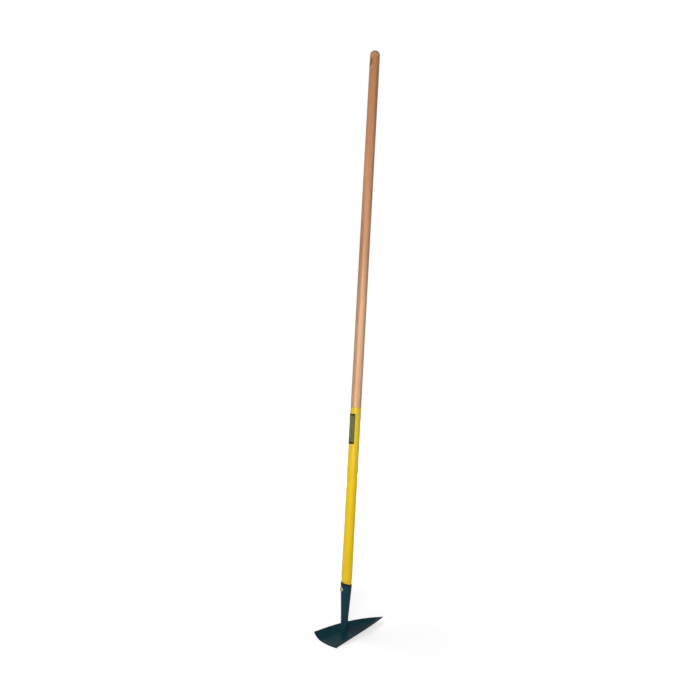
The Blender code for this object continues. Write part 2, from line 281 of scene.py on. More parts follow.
# %% Cut and bend the label
label_low, label_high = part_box("label")
LABEL_SPAN = math.radians(102.0)
LABEL_MIDDLE = math.radians(-90.0)
LABEL_INNER = SLEEVE_RADIUS + GAP
LABEL_THICKNESS = 0.0003
LABEL_CORNER = 0.0022
LABEL_COLUMNS = 28
half_arc = LABEL_INNER * LABEL_SPAN / 2

bm = bmesh.new()
label_size = Matrix.Diagonal((2 * half_arc, label_high.z - label_low.z, 1.0, 1.0))
bmesh.ops.create_grid(bm, x_segments=1, y_segments=1, size=0.5, matrix=label_size)
bmesh.ops.bevel(bm, geom=bm.verts[:], offset=LABEL_CORNER, offset_type="OFFSET", segments=5,
                profile=0.5, affect="VERTICES", material=-1)
for column in range(1, LABEL_COLUMNS):
    sideways = (2 * column / LABEL_COLUMNS - 1) * half_arc
    bmesh.ops.bisect_plane(bm, geom=bm.verts[:] + bm.edges[:] + bm.faces[:], dist=1e-7,
                           plane_co=(sideways, 0, 0), plane_no=(1, 0, 0))
sheet = bm.faces[:]
grown = bmesh.ops.extrude_face_region(bm, geom=sheet)["geom"]
outer = {item for item in grown if isinstance(item, bmesh.types.BMVert)}
label_centre = (label_low.z + label_high.z) / 2
for vert in bm.verts:
    angle = LABEL_MIDDLE + vert.co.x / LABEL_INNER
    radius = LABEL_INNER + (LABEL_THICKNESS if vert in outer else 0.0)
    vert.co = Vector((radius * math.cos(angle), radius * math.sin(angle),
                      label_centre + vert.co.y))
label = store_piece(bm, "label_strip", "label", sharp_degrees=50.0)

# %% [markdown]
# ## The socket
#
# The socket is a sheet of steel rolled into a cone, with its seam on the far side. Its mouth
# is cut at a slant and its foot is forged to a solid neck. The profile is spun with a level
# mouth. The two rings of points round the mouth then slide along the cone until they lie on
# the slanted plane, and a bevel rounds the lip. Only then is the seam cut.

# %% Turn the socket and trim its mouth
BLADE_RISE = math.radians(5.1)
BLADE_THICKNESS = 0.003
TENON_RADIUS = 0.0072
NECK_BEND = 0.010
LIP_ROUNDING = 0.0005
blade_turn = Matrix.Rotation(BLADE_RISE, 4, "X")
blade_normal = blade_turn @ Vector((0, 0, 1))
socket_profile = [
    (0.0, SOCKET_FLOOR), (cone_radius(SOCKET_FLOOR) - SOCKET_WALL, SOCKET_FLOOR),
    (RIM_RADIUS - SOCKET_WALL, RIM_HEIGHT), (RIM_RADIUS, RIM_HEIGHT),
    (NECK_TOP_RADIUS, NECK_TOP), (NECK_RADIUS, 0.0), (NECK_RADIUS, -NECK_RADIUS),
    (0.0, -NECK_RADIUS)]
bm = turned(socket_profile, ROUND_STEPS, rounded=[(4, NECK_BEND, 6)])
lip_verts = {vert for vert in bm.verts if abs(vert.co.z - RIM_HEIGHT) < 1e-6}
for vert in lip_verts:
    radius = vert.co.xy.length
    slope_here = math.tan(RIM_SLANT) * vert.co.y / radius
    lowered = slope_here * radius / (1 + slope_here * CONE_SLOPE)
    vert.co.xy *= 1 - lowered * CONE_SLOPE / radius
    vert.co.z = RIM_HEIGHT - lowered
lip_edges = [edge for edge in bm.edges if set(edge.verts) <= lip_verts
             and abs(edge.verts[0].co.xy.length - edge.verts[1].co.xy.length) < SOCKET_WALL / 2]
bmesh.ops.bevel(bm, geom=lip_edges, offset=LIP_ROUNDING, offset_type="OFFSET", segments=3,
                profile=0.5, affect="EDGES", material=-1)
print("the lip's two rings have", len(lip_verts), "points")

# %% [markdown]
# The neck stands on the blade and a thinner tenon goes on through it, flush with the sole. A
# plane trims the neck along the blade, the open end is filled and inset, and the inner disc is
# drawn down to the sole.

# %% Draw the tenon
neck_foot = blade_normal * (BLADE_THICKNESS + GAP)
bmesh.ops.bisect_plane(bm, geom=bm.verts[:] + bm.edges[:] + bm.faces[:], dist=1e-7,
                       plane_co=neck_foot, plane_no=blade_normal, clear_inner=True)
foot_edges = [edge for edge in bm.edges if edge.is_boundary]
foot = bmesh.ops.contextual_create(bm, geom=foot_edges)["faces"]
bmesh.ops.recalc_face_normals(bm, faces=bm.faces)
bmesh.ops.inset_region(bm, faces=foot, thickness=NECK_RADIUS - TENON_RADIUS,
                       use_even_offset=True)
drawn = bmesh.ops.extrude_face_region(bm, geom=foot)["geom"]
drawn_verts = [item for item in drawn if isinstance(item, bmesh.types.BMVert)]
bmesh.ops.translate(bm, verts=drawn_verts, vec=-neck_foot)
bmesh.ops.delete(bm, geom=foot, context="FACES_ONLY")
socket = store_piece(bm, "socket_cone", "socket")

# %% Cut the seam and the screw's hole
SEAM_WIDTH = 0.0012
SEAM_BOTTOM = 0.048
SEAM_NARROWING = 0.3
SCREW_HEIGHT = 0.106
SHANK_RADIUS = 0.0021

bm = bmesh.new()
bmesh.ops.create_cube(bm, size=1.0)
bmesh.ops.scale(bm, verts=bm.verts, vec=(SEAM_WIDTH, 2 * RIM_RADIUS, 2 * RIM_HEIGHT))
bmesh.ops.translate(bm, verts=bm.verts, vec=(0, RIM_RADIUS + GAP, SEAM_BOTTOM + RIM_HEIGHT))
for vert in bm.verts:
    if vert.co.z < RIM_HEIGHT:
        vert.co.x *= SEAM_NARROWING
carve(socket, bm)

bm = bmesh.new()
hole_place = (Matrix.Translation((0, -RIM_RADIUS, SCREW_HEIGHT))
              @ Matrix.Rotation(math.pi / 2, 4, "X"))
bmesh.ops.create_cone(bm, cap_ends=True, segments=32, radius1=SHANK_RADIUS + GAP,
                      radius2=SHANK_RADIUS + GAP, depth=2 * RIM_RADIUS, matrix=hole_place)
carve(socket, bm)

# %% [markdown]
# ## The blade
#
# The blade is a flat plate with a blunt back and two long sides that meet in a point. It is
# bent in a low arch along its length, its two halves fall off a little from the middle line,
# and its edges are ground thin. A grid is a good start, because its lines can follow the
# outline: each grid point is moved to its place on the blade. The outermost ring of the grid
# becomes the thin edge, and the ring inside it the line where the grinding starts. Each point
# also stores a number, rim_share, which is 1 on the thin edge. The paint is darker there.

# %% Blade sizes
BLADE_LENGTH = 0.1955
BLADE_WIDTH = 0.0965
BACK_BULGE = 0.012
BACK_ROUNDNESS = 1.7
SIDE_BULGE = 0.48
SIDE_BULGE_FORWARD = 0.31
FOOT_FROM_BACK = 0.0603
EDGE_THICKNESS = 0.0008
GRIND_WIDTH = 0.006
POINT_GRIND = 2.4 * GRIND_WIDTH
ARCH_RADIUS = 1.02
RIDGE_SLOPE = math.tan(math.radians(2.0))
RIDGE_SOFTNESS = 0.003
ACROSS, ALONG = 36, 70
BLADE_SHARP = 8.0


def outline_point(share_across, share_along, inset, point_inset):
    """A point of the blade's plan: across from -1 to 1, along from 0 at the back to 1."""
    half = BLADE_WIDTH / 2 - inset
    belly = 1 + SIDE_BULGE * share_along + SIDE_BULGE_FORWARD * share_along ** 2
    width = half * (1 - share_along) * belly
    length = BLADE_LENGTH - point_inset - inset
    bulge = BACK_BULGE * (1 - abs(share_across) ** BACK_ROUNDNESS) * (1 - share_along) ** 3
    return share_across * width, inset + share_along * length - bulge


def blade_drop(across, along):
    """How far the arch and the sloping halves take a point down."""
    ridge = math.sqrt(across * across + RIDGE_SOFTNESS ** 2) - RIDGE_SOFTNESS
    return along * along / (2 * ARCH_RADIUS) + RIDGE_SLOPE * ridge


print("the blade is", round(BLADE_LENGTH + BACK_BULGE, 4), "m long before it is bent")

# %% Shape the blade from a grid
OUTERMOST = 0.9999

bm = bmesh.new()
bmesh.ops.create_grid(bm, x_segments=ACROSS, y_segments=ALONG, size=1.0)
rim_layer = bm.verts.layers.float.new("rim_share")
edge_ring = set()
inner_across = 1 - 2 / ACROSS
inner_along = 1 - 2 / ALONG
for vert in bm.verts:
    x, y = vert.co.x, vert.co.y
    if abs(x) > OUTERMOST or abs(y) > OUTERMOST:
        edge_ring.add(vert)
        vert[rim_layer] = 1.0
        across, along = outline_point(x, (y + 1) / 2, 0.0, 0.0)
    else:
        across, along = outline_point(x / inner_across, (y / inner_along + 1) / 2,
                                      GRIND_WIDTH, POINT_GRIND)
    vert.co = Vector((across, along - FOOT_FROM_BACK, 0.0))
edge_places = {(round(vert.co.x, 7), round(vert.co.y, 7)) for vert in edge_ring}
grown = bmesh.ops.extrude_face_region(bm, geom=bm.faces[:])["geom"]
for item in grown:
    if isinstance(item, bmesh.types.BMVert):
        at_edge = (round(item.co.x, 7), round(item.co.y, 7)) in edge_places
        item.co.z = EDGE_THICKNESS if at_edge else BLADE_THICKNESS
for vert in bm.verts:
    vert.co.z -= blade_drop(vert.co.x, vert.co.y)
bmesh.ops.transform(bm, matrix=blade_turn, verts=bm.verts)
blade = store_piece(bm, "blade_plate", "blade", sharp_degrees=BLADE_SHARP)

# %% Cut the tenon's hole
bm = bmesh.new()
bmesh.ops.create_cone(bm, cap_ends=True, segments=ROUND_STEPS, radius1=TENON_RADIUS + 2 * GAP,
                      radius2=TENON_RADIUS + 2 * GAP, depth=10 * BLADE_THICKNESS,
                      matrix=blade_turn)
carve(blade, bm, sharp_degrees=BLADE_SHARP)

# %% [markdown]
# ## The weld
#
# A welder runs a bead of molten steel round the foot of the neck. It cools in small scales
# that overlap like fish scales, and the paint later softens them. A ring with a hollow face
# is spun, and its points are pushed in and out a little with a leaning wave. Its two lips are
# only 0.06 mm thick, so that the bead runs out on the neck and on the blade without a step.

# %% Spin and ripple the weld
WELD_LEG = 0.0042
WELD_SCALES = 26
WELD_RIPPLE = 0.0004
WELD_RIPPLE_MIDDLE = 0.9
WELD_LEAN = 1.8
WELD_LIP = 0.00006
HOLLOW_STEPS = 8
weld_inner = NECK_RADIUS + WELD_LIP
hollow = [(weld_inner, WELD_LIP)]
for step in range(HOLLOW_STEPS + 1):
    angle = math.pi / 2 * step / HOLLOW_STEPS
    hollow.append((weld_inner + WELD_LEG * (1 - math.sin(angle)) + WELD_LIP,
                   2 * WELD_LIP + WELD_LEG * (1 - math.cos(angle))))
hollow.append((weld_inner, 2 * WELD_LIP + WELD_LEG))
bm = turned(hollow, 6 * WELD_SCALES, ring=True)
for vert in bm.verts:
    flat = Vector((vert.co.x, vert.co.y))
    climb = vert.co.z / WELD_LEG
    lean = math.atan2(flat.y, flat.x) * WELD_SCALES + WELD_LEAN * climb
    scale = abs(math.sin(lean / 2)) - WELD_RIPPLE_MIDDLE
    ripple = WELD_RIPPLE * scale * math.sin(math.pi * min(1, max(0, climb)))
    if flat.length > weld_inner + 2 * WELD_LIP:
        flat *= 1 + ripple / flat.length
    along = flat.y / math.cos(BLADE_RISE)
    lift = (BLADE_THICKNESS - blade_drop(flat.x, along)) / math.cos(BLADE_RISE)
    vert.co = Vector((flat.x, flat.y, vert.co.z + flat.y * math.tan(BLADE_RISE) + lift))
weld = store_piece(bm, "weld_bead", "weld", sharp_degrees=50.0)

# %% [markdown]
# ## The screw
#
# One round-headed wood screw goes through the socket into the stick. Its head is a low dome
# with one slot. The profile is spun upright, turned so that it points along Y, and the slot
# is cut with a thin bar. The stick gets no hole for the screw, because none of it would show.

# %% Turn the screw
SCREW_HEAD_RADIUS = 0.0058
SCREW_HEAD_RISE = 0.0036
SCREW_HEAD_RIM = 0.0006
SCREW_HEAD_CHAMFER = 0.0002
SCREW_DOME_STEPS = 12
SCREW_STEPS = 48
SCREW_REACH = 0.019
SCREW_POINT_START = 0.72 * SCREW_REACH
SLOT_WIDTH = 0.0012
SLOT_TURN = math.radians(25.0)
screw_seat = cone_radius(SCREW_HEIGHT + SCREW_HEAD_RADIUS) + GAP
dome_profile = [(0.0, SCREW_HEAD_RISE)]
for step in range(1, SCREW_DOME_STEPS + 1):
    angle = math.pi / 2 * step / SCREW_DOME_STEPS
    dome_profile.append((SCREW_HEAD_RADIUS * math.sin(angle),
                         SCREW_HEAD_RIM + (SCREW_HEAD_RISE - SCREW_HEAD_RIM) * math.cos(angle)))
dome_profile += [(SCREW_HEAD_RADIUS - SCREW_HEAD_CHAMFER, 0.0), (SHANK_RADIUS, 0.0),
                 (SHANK_RADIUS, -SCREW_POINT_START), (0.0, -SCREW_REACH)]
bm = turned(dome_profile, SCREW_STEPS)
bmesh.ops.rotate(bm, verts=bm.verts, cent=(0, 0, 0), matrix=Matrix.Rotation(math.pi / 2, 3, "X"))
bmesh.ops.translate(bm, verts=bm.verts, vec=(0, -screw_seat, SCREW_HEIGHT))
screw = store_piece(bm, "screw_round_head", "screw")

# %% Cut the screw's slot
bm = bmesh.new()
bmesh.ops.create_cube(bm, size=1.0)
bmesh.ops.scale(bm, verts=bm.verts, vec=(4 * SCREW_HEAD_RADIUS, SCREW_HEAD_RISE, SLOT_WIDTH))
bmesh.ops.rotate(bm, verts=bm.verts, cent=(0, 0, 0), matrix=Matrix.Rotation(SLOT_TURN, 3, "Y"))
bmesh.ops.translate(bm, verts=bm.verts, vec=(0, -screw_seat - SCREW_HEAD_RISE, SCREW_HEIGHT))
carve(screw, bm)

# %% [markdown]
# ## Helpers for the finishes
#
# Every finish is a small network of nodes around one Principled shader. The helpers below add
# a node, join two sockets and give the surface coordinates, so that each finish reads as a
# short recipe. Object coordinates are metres in the hoe's own frame, so a pattern's size can
# be given in real units.

# %% Nodes and their sockets
def new_finish(name):
    """A material with its Principled shader; returns the material and the shader."""
    material = bpy.data.materials.new(name)
    material.use_nodes = True
    return material, material.node_tree.nodes["Principled BSDF"]


def add_node(material, kind, **values):
    """Adds a node and sets its inputs or properties by name."""
    node = material.node_tree.nodes.new(kind)
    for name, value in values.items():
        socket_name = name.replace("_", " ")
        if socket_name in node.inputs:
            node.inputs[socket_name].default_value = value
        else:
            setattr(node, name, value)
    return node


def join(material, out_socket, in_socket):
    """Joins two sockets."""
    material.node_tree.links.new(out_socket, in_socket)


# %% Patterns
def place_pattern(material, scale=(1, 1, 1), turn=(0, 0, 0)):
    """Object coordinates, turned and scaled, for a texture's Vector socket."""
    coordinates = add_node(material, "ShaderNodeTexCoord")
    mapping = add_node(material, "ShaderNodeMapping")
    mapping.inputs["Scale"].default_value = scale
    mapping.inputs["Rotation"].default_value = turn
    join(material, coordinates.outputs["Object"], mapping.inputs["Vector"])
    return mapping.outputs["Vector"]


def noise(material, vector, scale, detail=4.0, roughness=0.55):
    """A cloudy pattern from 0 to 1."""
    node = add_node(material, "ShaderNodeTexNoise", Scale=scale, Detail=detail,
                    Roughness=roughness)
    join(material, vector, node.inputs["Vector"])
    return node.outputs["Fac"]


# %% Arithmetic, colours and relief
def spread(material, value, low, high, new_low=0.0, new_high=1.0):
    """Stretches a value from one range to another and clamps it."""
    node = add_node(material, "ShaderNodeMapRange")
    for name, number in (("From Min", low), ("From Max", high), ("To Min", new_low),
                         ("To Max", new_high)):
        node.inputs[name].default_value = number
    join(material, value, node.inputs["Value"])
    return node.outputs["Result"]


def mix_colours(material, share, first, second):
    """Mixes two colours by a share from 0 to 1; each is a colour or a socket."""
    node = add_node(material, "ShaderNodeMix", data_type="RGBA")
    join(material, share, node.inputs["Factor"])
    for socket, given in ((node.inputs[6], first), (node.inputs[7], second)):
        if isinstance(given, bpy.types.NodeSocket):
            join(material, given, socket)
        else:
            socket.default_value = (*given, 1.0)
    return node.outputs[2]


def calculate(material, operation, first, second=0.0):
    """One step of arithmetic on numbers or sockets."""
    node = add_node(material, "ShaderNodeMath", operation=operation)
    for socket, given in zip(node.inputs, (first, second)):
        if isinstance(given, bpy.types.NodeSocket):
            join(material, given, socket)
        else:
            socket.default_value = given
    return node.outputs["Value"]


def raise_surface(material, shader, height, distance, strength):
    """Turns a height pattern into fine relief; distance is its depth in metres."""
    bump = add_node(material, "ShaderNodeBump", Distance=distance, Strength=strength)
    join(material, height, bump.inputs["Height"])
    join(material, bump.outputs["Normal"], shader.inputs["Normal"])


# %% Places on the hoe
def distance_along(material, direction):
    """How far a point of the surface lies along a direction, in metres for a unit vector."""
    coordinates = add_node(material, "ShaderNodeTexCoord")
    product = add_node(material, "ShaderNodeVectorMath", operation="DOT_PRODUCT")
    join(material, coordinates.outputs["Object"], product.inputs[0])
    product.inputs[1].default_value = direction
    return product.outputs["Value"]


def height_of(material):
    """A point's height up the handle, in metres."""
    return distance_along(material, (0.0, 0.0, 1.0))


def from_axis(material):
    """A point's distance from the handle's axis, in metres."""
    coordinates = add_node(material, "ShaderNodeTexCoord")
    flat = add_node(material, "ShaderNodeVectorMath", operation="MULTIPLY")
    join(material, coordinates.outputs["Object"], flat.inputs[0])
    flat.inputs[1].default_value = (1.0, 1.0, 0.0)
    length = add_node(material, "ShaderNodeVectorMath", operation="LENGTH")
    join(material, flat.outputs["Vector"], length.inputs[0])
    return length.outputs["Value"]


# %% Put a finish on a piece
def wear(piece, material):
    """Gives a piece its finish in place of any it has."""
    piece.data.materials.clear()
    piece.data.materials.append(material)
    print(piece.name, "wears", material.name, "of", len(material.node_tree.nodes), "nodes")


# %% [markdown]
# ## Varnished ash
#
# Ash has straight grain. Its growth rings run along the stick as soft bands a few millimetres
# apart, and thin pores lie in them as fine dark dashes. Stretching a pattern along Z turns
# its spots into such long fibres. The wood is pale just above the skin, redder from the
# middle up and brown near the top, so two ramps over the height blend three tones. The left
# and right sides of the stick, as the camera sees them, are painted darker: this is painted
# shade along both edges. They could be painted as lines, but ramps across the stick make them
# planes that run right through it.

# %% Lay the wood's patterns
wood, shader = new_finish("varnished_ash")
rings = add_node(wood, "ShaderNodeTexWave", wave_type="BANDS", bands_direction="X", Scale=75.0,
                 Distortion=5.0, Detail=2.0, Detail_Scale=0.6, Detail_Roughness=0.5)
join(wood, place_pattern(wood, (1, 1, 0.035), (0.01, 0.03, math.radians(25))),
     rings.inputs["Vector"])
fibres = noise(wood, place_pattern(wood, (1, 1, 0.012)), 900.0, 5.0, 0.6)
pores = noise(wood, place_pattern(wood, (1, 1, 0.035)), 1400.0, 2.0, 0.5)
patches = noise(wood, place_pattern(wood, (1, 1, 0.12)), 38.0, 3.0, 0.5)
print("nodes for the wood's patterns:", len(wood.node_tree.nodes))

# %% Blend three tones of wood
PALE_WOOD, PALE_GRAIN = (0.89, 0.525, 0.31), (0.47, 0.245, 0.125)
RED_WOOD, RED_GRAIN = (0.69, 0.350, 0.172), (0.36, 0.170, 0.080)
BROWN_WOOD, BROWN_GRAIN = (0.52, 0.228, 0.094), (0.27, 0.110, 0.045)
REDDENING = (0.79, 0.98)
BROWNING = (1.05, 1.50)

redder = spread(wood, height_of(wood), *REDDENING)
browner = spread(wood, height_of(wood), *BROWNING)
light_wood = mix_colours(wood, redder, PALE_WOOD, RED_WOOD)
light_wood = mix_colours(wood, browner, light_wood, BROWN_WOOD)
dark_wood = mix_colours(wood, redder, PALE_GRAIN, RED_GRAIN)
dark_wood = mix_colours(wood, browner, dark_wood, BROWN_GRAIN)
print("the wood reddens from", REDDENING[0], "m and browns from", BROWNING[0], "m")

# %% Paint shade on the stick's two sides and draw the grain
SHADE_SIDE_DIRECTION = math.radians(51.2)
LEFT_SHADE, RIGHT_SHADE = (-0.12, -0.45), (0.30, 0.95)
LEFT_SHADE_FADING = (1.22, 1.02)
PORE_BROWN = (0.25, 0.11, 0.045)

# This direction runs across the stick as the camera sees it. The two ramps along it paint shade
# on the stick's left and right sides, and the left one fades towards the top.
across = distance_along(wood, (math.cos(SHADE_SIDE_DIRECTION) / HANDLE_RADIUS,
                               math.sin(SHADE_SIDE_DIRECTION) / HANDLE_RADIUS, 0.0))
wander = noise(wood, place_pattern(wood, (0.3, 0.3, 1.0)), 6.0, 2.0)
across = calculate(wood, "ADD", across, spread(wood, wander, 0.3, 0.7, -0.14, 0.14))
left_shade = calculate(wood, "MULTIPLY", spread(wood, across, *LEFT_SHADE),
                      spread(wood, height_of(wood), *LEFT_SHADE_FADING, 0.05, 0.80))
right_shade = spread(wood, across, *RIGHT_SHADE, 0.0, 0.95)
side_shades = calculate(wood, "MAXIMUM", left_shade, right_shade)
grain = calculate(wood, "MULTIPLY", rings.outputs["Fac"],
                  spread(wood, patches, 0.35, 0.65, 0.10, 0.5))
# From here on, the grain share also carries the painted shade of the two sides.
grain = calculate(wood, "MAXIMUM", grain, side_shades)
toned = mix_colours(wood, grain, light_wood, dark_wood)
streaked = mix_colours(wood, spread(wood, fibres, 0.45, 0.75, 0.0, 0.4), toned, dark_wood)
pored = mix_colours(wood, spread(wood, pores, 0.62, 0.74, 0.0, 0.45), streaked, PORE_BROWN)
# The printed angle is the direction across the stick along which the painted shade lies.
print("the rings are stacked", round(math.degrees(SHADE_SIDE_DIRECTION), 1), "degrees round from X")

# %% [markdown]
# The dome shows end grain, which is ochre at its edge. Its middle is painted dark, which is
# painted shade on the top of the dome, and the border between them is uneven. Inside the
# hanging hole the wood is raw. Everywhere else a clear varnish fills the pores and gives a
# soft shine.

# %% Tint the dome's end grain, paint shade on its top, and bare the hanging hole
DOME_OCHRE, DOME_SHADE, RAW_WOOD = (0.52, 0.320, 0.140), (0.17, 0.110, 0.053), (0.36, 0.190, 0.095)
OCHRE_FROM, OCHRE_TO = HANDLE_TOP - 0.022, HANDLE_TOP - 0.014
DOME_SHADE_FROM, DOME_SHADE_TO = HANDLE_TOP - 0.0125, HANDLE_TOP - 0.0075
HOLE_WOOD_FROM, HOLE_WOOD_TO = HANDLE_TOP - 0.011, HANDLE_TOP - 0.014

worn = noise(wood, place_pattern(wood, (1, 1, 0.4)), 160.0, 4.0)
uneven = calculate(wood, "ADD", height_of(wood), spread(wood, worn, 0.3, 0.7, -0.004, 0.004))
dome_start = spread(wood, uneven, OCHRE_FROM, OCHRE_TO, 0.0, 0.5)
domed = mix_colours(wood, dome_start, pored, DOME_OCHRE)
# The dark middle of the dome is painted shade.
dome_shade = spread(wood, uneven, DOME_SHADE_FROM, DOME_SHADE_TO, 0.0, 0.9)
domed = mix_colours(wood, dome_shade, domed, DOME_SHADE)

under_surface = spread(wood, from_axis(wood), HANDLE_RADIUS - 0.0003, HANDLE_RADIUS - 0.0018)
near_hole = spread(wood, height_of(wood), HOLE_WOOD_FROM, HOLE_WOOD_TO)
raw = calculate(wood, "MULTIPLY", under_surface, near_hole)
finished = mix_colours(wood, raw, domed, RAW_WOOD)
join(wood, finished, shader.inputs["Base Color"])
print("the end grain starts", round(HANDLE_TOP - OCHRE_FROM, 4), "m below the top")

# %% Varnish the wood
join(wood, spread(wood, fibres, 0.3, 0.7, 0.36, 0.52), shader.inputs["Roughness"])
shader.inputs["Specular IOR Level"].default_value = 0.3
shader.inputs["Coat Weight"].default_value = 0.04
shader.inputs["Coat Roughness"].default_value = 0.25
relief = calculate(wood, "SUBTRACT", fibres, calculate(wood, "MULTIPLY", pores, 0.6))
raise_surface(wood, shader, relief, 0.00025, 0.5)
wear(stick, wood)

# %% [markdown]
# ## Yellow plastic skin
#
# The skin is a warm, glossy yellow. It is painted lighter near its top, which is a painted
# sheen, and richer lower down. Shrinking leaves a faint unevenness, handling leaves fine
# lengthwise scuffs, and a little soil stays just above the socket's lip.

# %% Build the yellow
SHEEN_YELLOW, RICH_YELLOW = (0.83, 0.565, 0.040), (0.87, 0.585, 0.008)
DEEP_YELLOW, SOIL_BROWN = (0.76, 0.50, 0.008), (0.24, 0.17, 0.04)
SHEEN_HEIGHTS = (0.40, 0.58)
SOIL_HEIGHTS = (0.121, 0.132)

yellow, shader = new_finish("yellow_plastic")
clouds = noise(yellow, place_pattern(yellow, (1, 1, 0.5)), 60.0, 3.0)
scuffs = noise(yellow, place_pattern(yellow, (1, 1, 0.05)), 1100.0, 3.0, 0.6)
specks = noise(yellow, place_pattern(yellow), 700.0, 2.0, 0.5)
# The lighter top of the skin is a painted sheen.
sheen_share = spread(yellow, height_of(yellow), *SHEEN_HEIGHTS)
base = mix_colours(yellow, sheen_share, RICH_YELLOW, SHEEN_YELLOW)
mottled = mix_colours(yellow, spread(yellow, clouds, 0.35, 0.7, 0.0, 0.5), base, DEEP_YELLOW)
near_lip = spread(yellow, height_of(yellow), *SOIL_HEIGHTS, 1.0, 0.0)
soil = calculate(yellow, "MULTIPLY", near_lip, spread(yellow, specks, 0.40, 0.65, 0.05, 0.4))
soiled = mix_colours(yellow, soil, mottled, SOIL_BROWN)
join(yellow, soiled, shader.inputs["Base Color"])
join(yellow, spread(yellow, scuffs, 0.35, 0.75, 0.25, 0.45), shader.inputs["Roughness"])
shader.inputs["Specular IOR Level"].default_value = 0.2
relief = calculate(yellow, "ADD", clouds, calculate(yellow, "MULTIPLY", scuffs, 0.08))
raise_surface(yellow, shader, relief, 0.0010, 0.25)
wear(skin, yellow)

# %% [markdown]
# ## Green label
#
# The label is a thin printed film: an olive green field in a darker border, which is broad at
# the top and bottom and narrow at the sides. Its ink is slightly uneven and its surface satin.

# %% Build the label's green
LABEL_BAND = 0.0055
LABEL_BAND_SOFTNESS = 0.0003
LABEL_SIDE_START, LABEL_SIDE_END = 0.0099, 0.0101
DEEP_OLIVE, LIGHT_OLIVE = (0.100, 0.125, 0.028), (0.175, 0.200, 0.062)
BLOTCH_OLIVE, BORDER_GREEN = (0.100, 0.120, 0.024), (0.036, 0.038, 0.001)

green, shader = new_finish("green_label_film")
label_z = height_of(green)
top_band = spread(green, label_z, label_high.z - LABEL_BAND - LABEL_BAND_SOFTNESS,
                  label_high.z - LABEL_BAND)
low_band = spread(green, label_z, label_low.z + LABEL_BAND,
                  label_low.z + LABEL_BAND + LABEL_BAND_SOFTNESS, 1.0, 0.0)
sideways = calculate(green, "ABSOLUTE", distance_along(green, (1.0, 0.0, 0.0)))
side_band = spread(green, sideways, LABEL_SIDE_START, LABEL_SIDE_END, 0.0, 0.7)
border = calculate(green, "MAXIMUM", calculate(green, "MAXIMUM", top_band, low_band), side_band)
ink = noise(green, place_pattern(green, (1, 1, 0.6)), 260.0, 3.0)
blotches = noise(green, place_pattern(green), 90.0, 2.0)
field = mix_colours(green, spread(green, ink, 0.35, 0.65), DEEP_OLIVE, LIGHT_OLIVE)
field = mix_colours(green, spread(green, blotches, 0.4, 0.65, 0.0, 0.5), field, BLOTCH_OLIVE)
bordered = mix_colours(green, border, field, BORDER_GREEN)
join(green, bordered, shader.inputs["Base Color"])
join(green, spread(green, ink, 0.3, 0.7, 0.38, 0.5), shader.inputs["Roughness"])
shader.inputs["Specular IOR Level"].default_value = 0.2
raise_surface(green, shader, ink, 0.0002, 0.3)
wear(label, green)

# %% [markdown]
# ## Teal enamel
#
# The head is dipped in a dark teal enamel. Thick paint dries glossy with a soft waviness, and
# fine dust shows as tiny dull specks. One recipe makes three coats, so that they match: the
# blade's is the glossiest and the weld's is dull and darker, which is painted shade. Three
# places are darker: a band below the slanted lip of the socket, which is painted shade, the
# ground rim of the blade, and the hollow round the weld, which is painted shade too.

# %% A recipe for teal enamel
DUST_GREY = (0.06, 0.085, 0.09)


def teal_enamel(name, deep, worn, roughness, gloss):
    """A dark paint of two tones, with its least roughness and its strength of reflection."""
    paint, paint_shader = new_finish(name)
    drift = noise(paint, place_pattern(paint), 45.0, 3.0)
    dust = noise(paint, place_pattern(paint), 1600.0, 2.0, 0.5)
    tone = mix_colours(paint, spread(paint, drift, 0.35, 0.7, 0.0, 0.6), deep, worn)
    dusted = mix_colours(paint, spread(paint, dust, 0.66, 0.78, 0.0, 0.35), tone, DUST_GREY)
    join(paint, dusted, paint_shader.inputs["Base Color"])
    join(paint, spread(paint, drift, 0.3, 0.7, roughness, roughness + 0.05),
         paint_shader.inputs["Roughness"])
    paint_shader.inputs["Specular IOR Level"].default_value = gloss
    relief = calculate(paint, "ADD", drift, calculate(paint, "MULTIPLY", dust, 0.05))
    raise_surface(paint, paint_shader, relief, 0.0006, 0.10)
    return paint


def darken(paint, share, colour):
    """Blends a darker colour into the paint where share is 1."""
    paint_shader = paint.node_tree.nodes["Principled BSDF"]
    before = paint_shader.inputs["Base Color"].links[0].from_socket
    join(paint, mix_colours(paint, share, before, colour), paint_shader.inputs["Base Color"])


# %% Coat the socket
LIP_SHADE_GREEN = (0.010, 0.018, 0.010)
LIP_SHADE_LOW, LIP_SHADE_HIGH = 0.0085, 0.003

head_paint = teal_enamel("teal_enamel_socket", (0.0068, 0.042, 0.058), (0.0092, 0.050, 0.066),
                         0.26, 0.07)
# The band below the slanted lip is painted shade.
towards_lip = distance_along(head_paint, (0.0, math.tan(RIM_SLANT), 1.0))
lip_shade = spread(head_paint, towards_lip, RIM_HEIGHT - LIP_SHADE_LOW, RIM_HEIGHT - LIP_SHADE_HIGH,
                  0.0, 0.9)
darken(head_paint, lip_shade, LIP_SHADE_GREEN)
wear(socket, head_paint)

# %% Coat the blade
RIM_DARK, CREASE_SHADE = (0.006, 0.016, 0.018), (0.0040, 0.022, 0.030)
CREASE_SHADE_START, CREASE_SHADE_END = 0.0125, 0.021

blade_paint = teal_enamel("teal_enamel_blade", (0.0066, 0.0370, 0.0515), (0.0082, 0.0430, 0.057),
                          0.11, 0.20)
rim = add_node(blade_paint, "ShaderNodeAttribute", attribute_name="rim_share")
ground_rim = spread(blade_paint, rim.outputs["Fac"], 0.15, 0.9, 0.0, 0.85)
darken(blade_paint, ground_rim, RIM_DARK)
